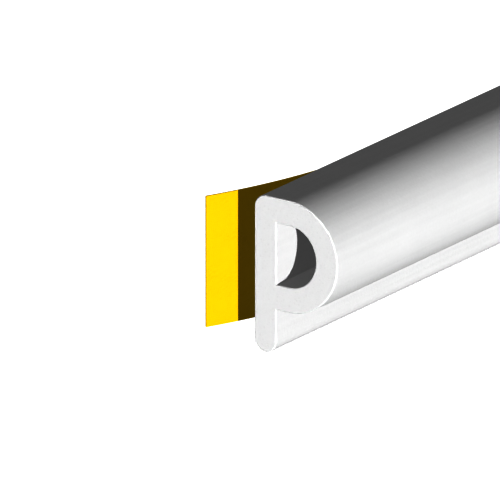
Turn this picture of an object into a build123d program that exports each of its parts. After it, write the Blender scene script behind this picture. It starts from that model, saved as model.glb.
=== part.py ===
"""Self-adhesive P-section draught excluder: a cut length with its release liner lifted at one end.

X points out of the surface that the strip is stuck to, Y runs along the strip and Z is up.
The origin is the middle of the sticky face, which lies in the plane X = 0.
"""

from build123d import *
import os
from math import asin, degrees

os.makedirs("parts", exist_ok=True)

# Rubber profile, in millimetres
strip_length = 40.0
strip_height = 9.0
strip_depth = 5.5
bulb_diameter = 6.45
wall = 1.45
top_corner_radius = 0.75
cut_edge_radius = 0.07

# Adhesive on the back face, and the heights of rubber left bare above and below it
tape_thickness = 0.1
bare_top = 0.8
bare_tail = 0.66

# Release liner, lifted off at the near cut end
liner_thickness = 0.08
peel_length = 13.2
peel_radius = 29.75

# The tail is as thick as the stem above it and ends in a half circle
tail_radius = wall / 2

# The tape covers the back face up to the eased edges of its cut ends
tape_width = strip_height - bare_top - bare_tail
tape_length = strip_length - 2 * cut_edge_radius

# Heights above the middle of the tape
tape_bottom = -tape_width / 2
tail_end = tape_bottom - bare_tail
tail_round_centre = tail_end + tail_radius
strip_top = tail_end + strip_height
bulb_bottom = strip_top - bulb_diameter

# Distances out from the sticky face
back_face = tape_thickness
bulb_radius = bulb_diameter / 2
bulb_centre = back_face + strip_depth - bulb_radius

# Distances along the strip
near_end = -strip_length / 2
peel_start = near_end + peel_length
peel_angle = degrees(asin(peel_length / peel_radius))

# The section is drawn as seen at the near cut end: x is out from the sticky face and y is up
section_plane = Plane(origin=(0, near_end, 0), x_dir=(1, 0, 0), z_dir=(0, -1, 0))

with BuildPart() as rubber_profile:
    with BuildSketch(section_plane) as section:
        # Bulb: a D with its straight side on the back face
        with BuildLine():
            top_line = Line((back_face, strip_top), (bulb_centre, strip_top))
            crown_arc = RadiusArc(top_line @ 1, (bulb_centre, bulb_bottom), bulb_radius)
            bottom_line = Line(crown_arc @ 1, (back_face, bulb_bottom))
            Line(bottom_line @ 1, top_line @ 0)
        make_face()
        # Hollow: the same D, one wall thickness in all round
        offset(amount=-wall, kind=Kind.INTERSECTION, mode=Mode.SUBTRACT)
        # Tail, running on down from the stem to its round end
        with Locations((back_face, tail_round_centre)):
            Rectangle(wall, bulb_bottom - tail_round_centre, align=(Align.MIN, Align.MIN))
        with Locations((back_face + tail_radius, tail_round_centre)):
            Circle(tail_radius)
        # Rounded corner where the back face meets the top
        top_back_corner = section.vertices().group_by(Axis.Y)[-1].sort_by(Axis.X)[0]
        fillet(top_back_corner, radius=top_corner_radius)
    extrude(amount=-strip_length)
    # Both cut ends are eased all round, the hollow's edge included
    cut_ends = rubber_profile.faces().filter_by(Axis.Y)
    fillet(cut_ends.edges(), radius=cut_edge_radius)
rubber_profile.part.label = "rubber_profile"
export_step(rubber_profile.part, "parts/rubber_profile.step")

with BuildPart() as adhesive_tape:
    Box(tape_thickness, tape_length, tape_width, align=(Align.MIN, Align.CENTER, Align.CENTER))
adhesive_tape.part.label = "adhesive_tape"
export_step(adhesive_tape.part, "parts/adhesive_tape.step")

with BuildPart() as release_liner:
    with BuildSketch(Plane.XY.offset(tape_bottom)):
        # Stuck length, then a curve away from the back face that leaves it at a tangent
        with BuildLine():
            stuck_line = Line((0, tape_length / 2), (0, peel_start))
            JernArc(start=stuck_line @ 1, tangent=stuck_line % 1, radius=peel_radius, arc_size=-peel_angle)
            offset(amount=liner_thickness, side=Side.RIGHT)
        make_face()
    extrude(amount=tape_width)
release_liner.part.label = "release_liner"
export_step(release_liner.part, "parts/release_liner.step")
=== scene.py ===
"""Looks of the P-section draught excluder: white extruded rubber, tacky back and yellow release liner.

Everything is in metres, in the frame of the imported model:
X is out from the sticky face, Y is along the strip and Z is up.
"""

import math

import bmesh
import bpy
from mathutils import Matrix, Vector


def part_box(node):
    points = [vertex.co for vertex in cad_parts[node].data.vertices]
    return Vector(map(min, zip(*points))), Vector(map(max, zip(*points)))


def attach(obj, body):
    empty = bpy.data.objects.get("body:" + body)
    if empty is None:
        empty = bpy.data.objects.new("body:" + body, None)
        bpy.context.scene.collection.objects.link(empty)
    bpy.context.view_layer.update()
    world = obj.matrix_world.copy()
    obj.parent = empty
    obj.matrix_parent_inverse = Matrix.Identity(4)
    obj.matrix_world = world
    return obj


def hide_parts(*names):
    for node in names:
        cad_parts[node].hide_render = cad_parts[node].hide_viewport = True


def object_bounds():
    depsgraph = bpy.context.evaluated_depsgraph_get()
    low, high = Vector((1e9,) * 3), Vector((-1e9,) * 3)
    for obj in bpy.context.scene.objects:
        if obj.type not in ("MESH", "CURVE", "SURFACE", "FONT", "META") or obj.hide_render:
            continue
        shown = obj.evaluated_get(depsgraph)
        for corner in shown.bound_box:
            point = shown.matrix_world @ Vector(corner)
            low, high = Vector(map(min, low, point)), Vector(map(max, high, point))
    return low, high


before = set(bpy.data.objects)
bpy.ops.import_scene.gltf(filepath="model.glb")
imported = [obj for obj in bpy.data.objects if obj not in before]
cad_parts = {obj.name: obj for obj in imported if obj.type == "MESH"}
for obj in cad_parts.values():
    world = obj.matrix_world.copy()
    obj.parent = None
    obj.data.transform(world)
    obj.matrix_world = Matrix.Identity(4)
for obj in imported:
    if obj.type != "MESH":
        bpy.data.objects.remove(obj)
cad_low, cad_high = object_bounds()

MM = 0.001
MICRON = 0.000001

# Section of the rubber profile
WALL = 1.45 * MM
BULB_RADIUS = 3.225 * MM
TOP_CORNER_RADIUS = 0.75 * MM

# Eased edge of the cut ends: one facet that stands for a small round
CUT_EDGE = 0.055 * MM

# Release liner, lifted off at the near cut end
LINER_THICKNESS = 0.08 * MM
PEEL_LENGTH = 13.2 * MM
PEEL_RADIUS = 29.75 * MM

# Adhesive that came away with the liner at the lifted end, measured from the tape's cut edge.
# The line that it left wavers by a slow and a fast wave up the tape, in radians per metre.
PULLED_BACK = 0.2 * MM
PULLED_WAVE = 0.05 * MM
SLOW_WAVE = 1.3 / MM
FAST_WAVE = 3.1 / MM

# Mesh fineness
DEGREES_PER_STEP = 3.0
FLAT_STEP = 0.4 * MM
LENGTH_STEP = 1.0 * MM
EDGE_SUPPORT = 0.015 * MM
STUCK_STEPS = 26
PEEL_STEPS = 64
LINER_HEIGHT_STEPS = 12
TAPE_LENGTH_STEPS = 80
TAPE_HEIGHT_STEPS = 64

# An edge that turns by more than this is shaded as a sharp one
SHARP_ANGLE = math.radians(60)

# A face whose normal points further along the strip than this is cut rubber
CUT_FACING = 0.5

# Material slots of the profile, and those of a slab
SKIN, CUT = 0, 1
FRONT, BACK, EDGE = 0, 1, 2

# Colours
SKIN_WHITE = (0.84, 0.84, 0.84)
CUT_WHITE = (0.86, 0.86, 0.86)
LINER_YELLOW = (0.895, 0.65, 0.0)
SLIT_YELLOW = (0.9, 0.67, 0.04)
FILM_CREAM = (0.64, 0.62, 0.55)
FLOOR_GREY = (0.9, 0.9, 0.9, 1.0)
WHITE = (1.0, 1.0, 1.0, 1.0)

# View of the photograph: almost a parallel projection, so the lens is very long.
# Lens and sensor are in millimetres, as Blender has them, and angles are in degrees.
# The frame's centre is a point in the plane of the near cut, and its width is measured there.
CAMERA_AZIMUTH = 34.875
CAMERA_ELEVATION = 18.855
CAMERA_LENS = 1500.0
SENSOR_WIDTH = 36.0
FRAME_WIDTH = 27.212 * MM
FRAME_CENTRE = Vector((-0.180 * MM, cad_low.y, 1.240 * MM))

# The lamps face the middle of the sticky face, far enough off to light the strip evenly along its length
LAMP_TARGET = Vector((0.0, 0.0, 0.0))
LAMP_DISTANCE = 6.0

# The floor reaches this far each way, and is almost white by its own glow
FLOOR_REACH = 2.0
FLOOR_GLOW = 0.92


def even(start, end, count):
    """count + 1 evenly spaced numbers from start to end."""
    return [start + (end - start) * i / count for i in range(count + 1)]


def closed_pairs(items):
    """Each item of a closed ring with the one after it."""
    return list(zip(items, items[1:] + items[:1]))


def line(start, end):
    """Evenly spaced points from start up to, but not including, end."""
    count = max(1, round((Vector(end) - Vector(start)).length / FLAT_STEP))
    return [Vector(start).lerp(Vector(end), i / count) for i in range(count)]


def arc(centre, radius, start_degrees, end_degrees):
    """Points along an arc from its start up to, but not including, its end."""
    count = max(2, round(abs(end_degrees - start_degrees) / DEGREES_PER_STEP))
    points = []
    for degrees in even(start_degrees, end_degrees, count)[:-1]:
        angle = math.radians(degrees)
        x = centre[0] + radius * math.cos(angle)
        z = centre[1] + radius * math.sin(angle)
        points.append(Vector((x, z)))
    return points


def outer_outline(low, high):
    """Outside of the P section as (x, z) points, clockwise as seen at the near cut end."""
    back, crown = low.x, high.x
    top, foot = high.z, low.z
    stem_front = back + WALL
    bulb_x = crown - BULB_RADIUS
    bulb_z = top - BULB_RADIUS
    bulb_foot = top - 2 * BULB_RADIUS
    tail_radius = WALL / 2
    tail_z = foot + tail_radius
    corner = (back + TOP_CORNER_RADIUS, top - TOP_CORNER_RADIUS)
    return (
        arc(corner, TOP_CORNER_RADIUS, 180, 90)
        + line((corner[0], top), (bulb_x, top))
        + arc((bulb_x, bulb_z), BULB_RADIUS, 90, -90)
        + line((bulb_x, bulb_foot), (stem_front, bulb_foot))
        + line((stem_front, bulb_foot), (stem_front, tail_z))
        + arc((back + tail_radius, tail_z), tail_radius, 0, -180)
        + line((back, tail_z), (back, corner[1]))
    )


def hollow_outline(low, high):
    """The D-shaped hollow, one wall thickness inside the bulb, counter-clockwise."""
    flat = low.x + WALL
    bulb_x = high.x - BULB_RADIUS
    bulb_z = high.z - BULB_RADIUS
    radius = BULB_RADIUS - WALL
    return (
        line((flat, bulb_z + radius), (flat, bulb_z - radius))
        + line((flat, bulb_z - radius), (bulb_x, bulb_z - radius))
        + arc((bulb_x, bulb_z), radius, -90, 90)
        + line((bulb_x, bulb_z + radius), (flat, bulb_z + radius))
    )


def edges_at_points(outline):
    """For each point of a closed outline, the edge that comes to it and the edge that leaves it."""
    leaving = [end - start for start, end in closed_pairs(outline)]
    coming = leaving[-1:] + leaving[:-1]
    return list(zip(coming, leaving))


def mitres(outline):
    """For each point, the step out of the rubber that moves both of its edges by one unit.

    Both outlines have the rubber on the right of travel, so the step is to the left.
    """
    steps = []
    for coming, leaving in edges_at_points(outline):
        left_of_coming = Vector((-coming.y, coming.x)).normalized()
        left_of_leaving = Vector((-leaving.y, leaving.x)).normalized()
        steps.append((left_of_coming + left_of_leaving) / (1 + left_of_coming.dot(left_of_leaving)))
    return steps


def corner_places(outline):
    """Places along the outline where it turns sharply."""
    places = []
    for i, (coming, leaving) in enumerate(edges_at_points(outline)):
        if coming.angle(leaving) > SHARP_ANGLE:
            places.append(i)
    return places


def end_stations(end_y, inward):
    """(y, inset) of the rings that ease one cut end, from the cut face to the side of the strip."""
    reach = CUT_EDGE + EDGE_SUPPORT
    on_face = [(end_y, reach), (end_y, CUT_EDGE)]
    on_side = [(end_y + inward * CUT_EDGE, 0.0), (end_y + inward * reach, 0.0)]
    return on_face + on_side


def profile_stations(near_y, far_y):
    """(y, inset) of all rings of the profile, from the near cut face to the far one."""
    near = end_stations(near_y, 1)
    far = end_stations(far_y, -1)
    first, last = near[-1][0], far[-1][0]
    count = round((last - first) / LENGTH_STEP)
    middle = [(y, 0.0) for y in even(first, last, count)[1:-1]]
    return near + middle + far[::-1]


def add_wall(bm, outline, stations):
    """Wall that follows the outline through the stations. Returns the edges of its near and far rims."""
    steps = mitres(outline)
    rings = []
    for y, inset in stations:
        ring = []
        for point, step in zip(outline, steps):
            moved = point - step * inset
            ring.append(bm.verts.new((moved.x, y, moved.y)))
        rings.append(ring)
    corners = corner_places(outline)
    for ring, following in zip(rings, rings[1:]):
        for (a, b), (c, d) in zip(closed_pairs(ring), closed_pairs(following)):
            bm.faces.new((a, b, d, c))
        for i in corners:
            bm.edges.get((ring[i], following[i])).smooth = False
    rims = []
    for ring in (rings[0], rings[-1]):
        rims.append([bm.edges.get(pair) for pair in closed_pairs(ring)])
    return rims


def add_object(name, data):
    """New object of the scene."""
    obj = bpy.data.objects.new(name, data)
    bpy.context.scene.collection.objects.link(obj)
    return obj


def mesh_object(name, bm, materials):
    """New object made from a bmesh, which is used up."""
    mesh = bpy.data.meshes.new(name)
    bm.to_mesh(mesh)
    bm.free()
    for material in materials:
        mesh.materials.append(material)
    return add_object(name, mesh)


def strip_piece(name, bm, materials):
    """Turns a bmesh into a piece of the strip, smooth between its sharp edges."""
    bmesh.ops.recalc_face_normals(bm, faces=bm.faces)
    for edge in bm.edges:
        if edge.calc_face_angle(0.0) > SHARP_ANGLE:
            edge.smooth = False
    for face in bm.faces:
        face.smooth = True
    piece = mesh_object(name, bm, materials)
    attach(piece, "root")
    # The photograph's light has no bounce from one surface to the next
    piece.visible_diffuse = False
    return piece


def rubber_profile(skin, cut):
    """The extruded profile, with eased edges round its cut ends."""
    low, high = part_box("rubber_profile")
    stations = profile_stations(low.y, high.y)
    bm = bmesh.new()
    near_rims, far_rims = [], []
    for outline in (outer_outline(low, high), hollow_outline(low, high)):
        near_rim, far_rim = add_wall(bm, outline, stations)
        near_rims += near_rim
        far_rims += far_rim
    for rims in (near_rims, far_rims):
        bmesh.ops.triangle_fill(bm, use_beauty=True, use_dissolve=False, edges=rims)
    # The cut faces and their eased edges show the cut rubber, the rest its skin
    for face in bm.faces:
        face.normal_update()
        face.material_index = CUT if abs(face.normal.y) > CUT_FACING else SKIN
    piece = strip_piece("rubber_profile_dressed", bm, (skin, cut))
    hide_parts("rubber_profile")
    return piece


def grid_slab(columns, heights):
    """Closed slab over a run of (front, back) point pairs in plan, as high as the heights reach."""
    bm = bmesh.new()
    sides = []
    for side in (FRONT, BACK):
        rows = []
        for column in columns:
            rows.append([bm.verts.new((column[side].x, column[side].y, z)) for z in heights])
        sides.append(rows)
    for side, rows in zip((FRONT, BACK), sides):
        for a, b in zip(rows, rows[1:]):
            for k in range(len(heights) - 1):
                bm.faces.new((a[k], a[k + 1], b[k + 1], b[k])).material_index = side
    front, back = sides
    for k in (0, -1):
        for i in range(len(columns) - 1):
            face = bm.faces.new((front[i][k], front[i + 1][k], back[i + 1][k], back[i][k]))
            face.material_index = EDGE
    for i in (0, -1):
        for k in range(len(heights) - 1):
            face = bm.faces.new((front[i][k], front[i][k + 1], back[i][k + 1], back[i][k]))
            face.material_index = EDGE
    return bm


def release_liner(release_side, paper_side, slit_edge):
    """The liner: flat where it is still stuck, then a long curve away from the back face."""
    low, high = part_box("release_liner")
    peel_start = low.y + PEEL_LENGTH
    columns = []
    for y in even(high.y, peel_start, STUCK_STEPS):
        columns.append((Vector((0.0, y)), Vector((-LINER_THICKNESS, y))))
    centre = Vector((-PEEL_RADIUS, peel_start))
    for angle in even(0.0, math.asin(PEEL_LENGTH / PEEL_RADIUS), PEEL_STEPS)[1:]:
        out = Vector((math.cos(angle), -math.sin(angle)))
        columns.append((centre + out * PEEL_RADIUS, centre + out * (PEEL_RADIUS - LINER_THICKNESS)))
    bm = grid_slab(columns, even(low.z, high.z, LINER_HEIGHT_STEPS))
    materials = (release_side, paper_side, slit_edge)
    piece = strip_piece("release_liner_dressed", bm, materials)
    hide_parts("release_liner")
    return piece


def adhesive_tape(film):
    """The thin adhesive between the back face and the liner, its near edge a little pulled back."""
    low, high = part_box("adhesive_tape")
    columns = []
    for y in even(low.y, high.y, TAPE_LENGTH_STEPS):
        columns.append((Vector((high.x, y)), Vector((low.x, y))))
    bm = grid_slab(columns, even(low.z, high.z, TAPE_HEIGHT_STEPS))
    for vert in bm.verts:
        if vert.co.y < low.y + PULLED_BACK / 2:
            waver = math.sin(vert.co.z * SLOW_WAVE) * math.cos(vert.co.z * FAST_WAVE)
            vert.co.y += PULLED_BACK + PULLED_WAVE * waver
    piece = strip_piece("adhesive_tape_dressed", bm, (film, film, film))
    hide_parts("adhesive_tape")
    return piece


class Surface:
    """A material made of nodes. Its patterns are laid by the place on the object.

    Colour, roughness and bump each take one or more parts, which are (pattern, weight) pairs.
    """

    def __init__(self, name, specular):
        self.material = bpy.data.materials.new(name)
        self.material.use_nodes = True
        self.nodes = self.material.node_tree.nodes
        self.link = self.material.node_tree.links.new
        self.shader = self.nodes["Principled BSDF"]
        self.shader.inputs["Specular IOR Level"].default_value = specular
        self.place = self.nodes.new("ShaderNodeTexCoord").outputs["Object"]

    def stretched_place(self, stretch, turn):
        """Place in which patterns come out longer by a factor along each axis.

        The axes are turned by so many degrees about X, Y and Z.
        """
        mapping = self.nodes.new("ShaderNodeMapping")
        mapping.vector_type = "TEXTURE"
        mapping.inputs["Rotation"].default_value = [math.radians(degrees) for degrees in turn]
        mapping.inputs["Scale"].default_value = stretch
        self.link(self.place, mapping.inputs["Vector"])
        return mapping.outputs["Vector"]

    def noise(self, size, detail=2.0, stretch=None, turn=(0, 0, 0)):
        """Noise about zero, seldom past 1 or -1, whose features are about size across."""
        texture = self.nodes.new("ShaderNodeTexNoise")
        texture.normalize = False
        texture.inputs["Scale"].default_value = 1.0 / size
        texture.inputs["Detail"].default_value = detail
        place = self.stretched_place(stretch, turn) if stretch else self.place
        self.link(place, texture.inputs["Vector"])
        return texture.outputs["Fac"]

    def smooth_step(self, socket, zero_at, one_at):
        """Smooth step from 0 to 1 as the socket goes from one value to the other."""
        step = self.nodes.new("ShaderNodeMapRange")
        step.interpolation_type = "SMOOTHSTEP"
        step.inputs["From Min"].default_value = zero_at
        step.inputs["From Max"].default_value = one_at
        self.link(socket, step.inputs["Value"])
        return step.outputs["Result"]

    def pores(self, spacing, radius):
        """Scattered round pores with at most this radius: 1 inside a pore and 0 between them."""
        cells = self.nodes.new("ShaderNodeTexVoronoi")
        cells.inputs["Scale"].default_value = 1.0 / spacing
        self.link(self.place, cells.inputs["Vector"])
        rim = radius / spacing
        return self.smooth_step(cells.outputs["Distance"], rim, rim / 2)

    def threads(self, across, pitch, share):
        """Threads that follow each other across an axis: 1 on a thread, 0 in the gaps.

        Each thread takes up a share of the pitch.
        """
        wave = self.nodes.new("ShaderNodeTexWave")
        wave.bands_direction = across
        # Blender's wave texture repeats every tenth of pi at scale 1
        wave.inputs["Scale"].default_value = math.pi / 10 / pitch
        self.link(self.place, wave.inputs["Vector"])
        # Its height runs from 0 to 1, and has this value at a thread's edges
        edge = 0.5 + 0.5 * math.cos(math.pi * share)
        return self.smooth_step(wave.outputs["Fac"], edge, (edge + 1) / 2)

    def weighted_sum(self, base, parts):
        """Base plus each pattern times its weight."""
        total = None
        for pattern, weight in parts:
            step = self.nodes.new("ShaderNodeMath")
            step.operation = "MULTIPLY_ADD"
            self.link(pattern, step.inputs[0])
            step.inputs[1].default_value = weight
            if total is None:
                step.inputs[2].default_value = base
            else:
                self.link(total, step.inputs[2])
            total = step.outputs["Value"]
        return total

    def paint(self, colour, *parts):
        """Gives the surface a colour, which the parts make lighter or darker."""
        scale = self.nodes.new("ShaderNodeVectorMath")
        scale.operation = "SCALE"
        scale.inputs[0].default_value = colour
        self.link(self.weighted_sum(1.0, parts), scale.inputs["Scale"])
        self.link(scale.outputs["Vector"], self.shader.inputs["Base Color"])

    def roughen(self, mean, *parts):
        """Gives the surface a mean roughness, which the parts raise or lower."""
        self.link(self.weighted_sum(mean, parts), self.shader.inputs["Roughness"])

    def emboss(self, depth, *parts):
        """Gives the surface a bump: the sum of the parts, times the depth."""
        bump = self.nodes.new("ShaderNodeBump")
        bump.inputs["Strength"].default_value = 1.0
        bump.inputs["Distance"].default_value = depth
        self.link(self.weighted_sum(0.0, parts), bump.inputs["Height"])
        self.link(bump.outputs["Normal"], self.shader.inputs["Normal"])


def rubber_skin():
    """Matt extruded skin: a fine grain, faint lines drawn by the die, and a little clouding."""
    skin = Surface("rubber_skin", specular=0.2)
    grain = skin.noise(size=0.16 * MM, detail=3.0)
    die_lines = skin.noise(size=0.3 * MM, detail=3.0, stretch=(1, 60, 1))
    clouds = skin.noise(size=2.5 * MM)
    skin.paint(SKIN_WHITE, (grain, 0.012), (die_lines, 0.016), (clouds, 0.008))
    skin.roughen(0.68, (grain, 0.06), (clouds, 0.05))
    skin.emboss(3.5 * MICRON, (grain, 0.5), (die_lines, 0.8))
    return skin.material


def rubber_cut():
    """Freshly cut rubber: fine closed cells laid open, painted a little darker as shade inside them, and
    the faint drag of the blade.
    """
    cut = Surface("rubber_cut", specular=0.15)
    cells = cut.pores(spacing=0.24 * MM, radius=0.075 * MM)
    small_cells = cut.pores(spacing=0.13 * MM, radius=0.04 * MM)
    grain = cut.noise(size=0.12 * MM)
    drag = cut.noise(size=0.2 * MM, stretch=(1, 1, 25), turn=(0, 20, 0))
    # The open cells are painted a little darker: painted shade inside them. Their dip is a real bump.
    cut.paint(CUT_WHITE, (cells, -0.02), (small_cells, -0.015), (grain, 0.01), (drag, 0.008))
    cut.roughen(0.78, (grain, 0.06), (cells, 0.1))
    cut.emboss(4 * MICRON, (cells, -1.0), (small_cells, -0.5), (grain, 0.2), (drag, 0.3))
    return cut.material


def liner_release_side():
    """The coated side of the liner: even yellow with a faint satin unevenness."""
    coat = Surface("liner_release_side", specular=0.2)
    clouds = coat.noise(size=1.6 * MM, detail=3.0)
    fibres = coat.noise(size=0.14 * MM, stretch=(1, 6, 1), turn=(18, 0, 0))
    coat.paint(LINER_YELLOW, (clouds, 0.014), (fibres, 0.01))
    coat.roughen(0.3, (clouds, 0.05), (fibres, 0.04))
    coat.emboss(2 * MICRON, (fibres, 0.6), (clouds, 1.0))
    return coat.material


def liner_paper_side():
    """The bare paper side of the liner: crossing fibres and a cloudy sheet."""
    paper = Surface("liner_paper_side", specular=0.2)
    clouds = paper.noise(size=1.2 * MM, detail=3.0)
    fibres_up = paper.noise(size=0.13 * MM, stretch=(1, 9, 1), turn=(24, 0, 0))
    fibres_down = paper.noise(size=0.13 * MM, stretch=(1, 9, 1), turn=(-31, 0, 0))
    paper.paint(LINER_YELLOW, (clouds, 0.035), (fibres_up, 0.03), (fibres_down, 0.03))
    paper.roughen(0.64, (clouds, 0.06), (fibres_up, 0.05), (fibres_down, 0.05))
    paper.emboss(5 * MICRON, (fibres_up, 0.6), (fibres_down, 0.6), (clouds, 0.5))
    return paper.material


def liner_edge():
    """Slit edge of the liner paper, a little paler and fibrous."""
    slit = Surface("liner_edge", specular=0.15)
    fibres = slit.noise(size=0.05 * MM, detail=3.0)
    slit.paint(SLIT_YELLOW, (fibres, 0.05))
    slit.roughen(0.8, (fibres, 0.08))
    slit.emboss(4 * MICRON, (fibres, 1.0))
    return slit.material


def adhesive_film():
    """Tacky film: milky over the white rubber, with a thread mesh in it and a slightly lumpy gloss."""
    film = Surface("adhesive_film", specular=0.4)
    lengthwise = film.threads(across="Z", pitch=0.9 * MM, share=0.16)
    upright = film.threads(across="Y", pitch=0.9 * MM, share=0.16)
    lumps = film.noise(size=0.5 * MM)
    clouds = film.noise(size=2.0 * MM)
    film.paint(FILM_CREAM, (lengthwise, 0.09), (upright, 0.09), (clouds, 0.03), (lumps, 0.015))
    film.roughen(0.32, (lumps, 0.08), (clouds, 0.06))
    film.emboss(10 * MICRON, (lengthwise, 0.8), (upright, 0.8), (lumps, 1.0))
    return film.material


def floor_white():
    """Plain floor whose own glow keeps shadows on it faint."""
    material = bpy.data.materials.new("floor_white")
    material.use_nodes = True
    shader = material.node_tree.nodes["Principled BSDF"]
    shader.inputs["Base Color"].default_value = FLOOR_GREY
    shader.inputs["Roughness"].default_value = 0.9
    shader.inputs["Specular IOR Level"].default_value = 0.0
    shader.inputs["Emission Color"].default_value = WHITE
    shader.inputs["Emission Strength"].default_value = FLOOR_GLOW
    return material


def add_floor(level):
    """Floor under the strip. It lets the low lamps through and throws no light back up."""
    bm = bmesh.new()
    bmesh.ops.create_grid(bm, x_segments=1, y_segments=1, size=FLOOR_REACH)
    floor = mesh_object("floor", bm, [floor_white()])
    floor.location.z = level
    floor.visible_diffuse = False
    floor.visible_glossy = False
    floor.visible_shadow = False
    return floor


def add_world(seen, ambient):
    """World that the camera sees as pale as the floor, and that lights the strip only a little."""
    world = bpy.data.worlds.new("studio")
    world.use_nodes = True
    nodes = world.node_tree.nodes
    links = world.node_tree.links
    background = nodes["Background"]
    background.inputs["Color"].default_value = WHITE
    path = nodes.new("ShaderNodeLightPath")
    mix = nodes.new("ShaderNodeMix")
    mix.inputs["A"].default_value = ambient
    mix.inputs["B"].default_value = seen
    links.new(path.outputs["Is Camera Ray"], mix.inputs["Factor"])
    links.new(mix.outputs["Result"], background.inputs["Strength"])
    bpy.context.scene.world = world


def stand_off(obj, target, azimuth, elevation, distance):
    """Puts a camera or a lamp at a distance from its target, which it faces.

    Seen from the target, azimuth 0 is towards -Y and azimuth 90 towards +X.
    """
    turn = math.radians(azimuth)
    rise = math.radians(elevation)
    away = Vector((math.sin(turn) * math.cos(rise), -math.cos(turn) * math.cos(rise), math.sin(rise)))
    obj.location = target + away * distance
    obj.rotation_mode = "QUATERNION"
    obj.rotation_quaternion = (-away).to_track_quat("-Z", "Y")


def add_camera():
    """Camera with the photograph's view, as far off as the frame's width at its centre asks."""
    data = bpy.data.cameras.new("photo_camera")
    data.lens = CAMERA_LENS
    data.sensor_width = SENSOR_WIDTH
    camera = add_object("photo_camera", data)
    distance = FRAME_WIDTH * CAMERA_LENS / SENSOR_WIDTH
    stand_off(camera, FRAME_CENTRE, CAMERA_AZIMUTH, CAMERA_ELEVATION, distance)
    bpy.context.scene.camera = camera


def light_group(name, objects):
    """Collection that says which objects a lamp falls on, or which throw shadows in its light."""
    group = bpy.data.collections.new(name)
    for obj in objects:
        group.objects.link(obj)
    return group


def add_lamp(name, azimuth, elevation, size, power, receivers, blockers=None, shadows=True,
             matt=True, gloss=True):
    """Round lamp that faces the strip, with the size and power that it would need one metre away.

    It falls only on its receivers. Where it has blockers, only they throw shadows in its light.
    """
    data = bpy.data.lights.new(name, "AREA")
    data.shape = "DISK"
    data.size = size * LAMP_DISTANCE
    data.energy = power * LAMP_DISTANCE**2
    data.use_shadow = shadows
    lamp = add_object(name, data)
    stand_off(lamp, LAMP_TARGET, azimuth, elevation, LAMP_DISTANCE)
    lamp.visible_camera = False
    lamp.visible_diffuse = matt
    lamp.visible_glossy = gloss
    lamp.light_linking.receiver_collection = receivers
    lamp.light_linking.blocker_collection = blockers


profile = rubber_profile(rubber_skin(), rubber_cut())
liner = release_liner(liner_release_side(), liner_paper_side(), liner_edge())
tape = adhesive_tape(adhesive_film())
floor = add_floor(cad_low.z)

on_strip = light_group("lit_strip", [profile, liner, tape])
on_profile = light_group("lit_profile", [profile])
on_back = light_group("lit_back", [liner, tape])
on_floor = light_group("lit_floor", [floor])

# Light of the photograph: one level key from the right front, and little light from above
add_lamp("key", azimuth=52.55, elevation=-2.8, size=0.013, power=10.87,
         receivers=on_strip, gloss=False)
add_lamp("top_fill", azimuth=0, elevation=90, size=0.2, power=0.49,
         receivers=on_strip, shadows=False)
add_lamp("near_end_fill", azimuth=0, elevation=0, size=0.2, power=1.17,
         receivers=on_profile, gloss=False)
# Straight behind the strip as the photograph sees it, so it reaches nothing that shows there
add_lamp("back_light", azimuth=CAMERA_AZIMUTH + 180, elevation=-CAMERA_ELEVATION, size=0.13, power=9.1,
         receivers=on_profile, blockers=on_profile, gloss=False)
add_lamp("liner_back_fill", azimuth=245, elevation=0, size=0.2, power=10.7,
         receivers=on_back, shadows=False)
add_lamp("front_gloss", azimuth=38, elevation=24, size=0.93, power=31.0,
         receivers=on_profile, matt=False)
add_lamp("floor_wash", azimuth=0, elevation=89, size=0.67, power=1.1,
         receivers=on_floor)
add_world(seen=1.0, ambient=0.262)
add_camera()
# The photograph is shaded in display values, with no curve between light and picture
bpy.context.scene.view_settings.view_transform = "Raw"
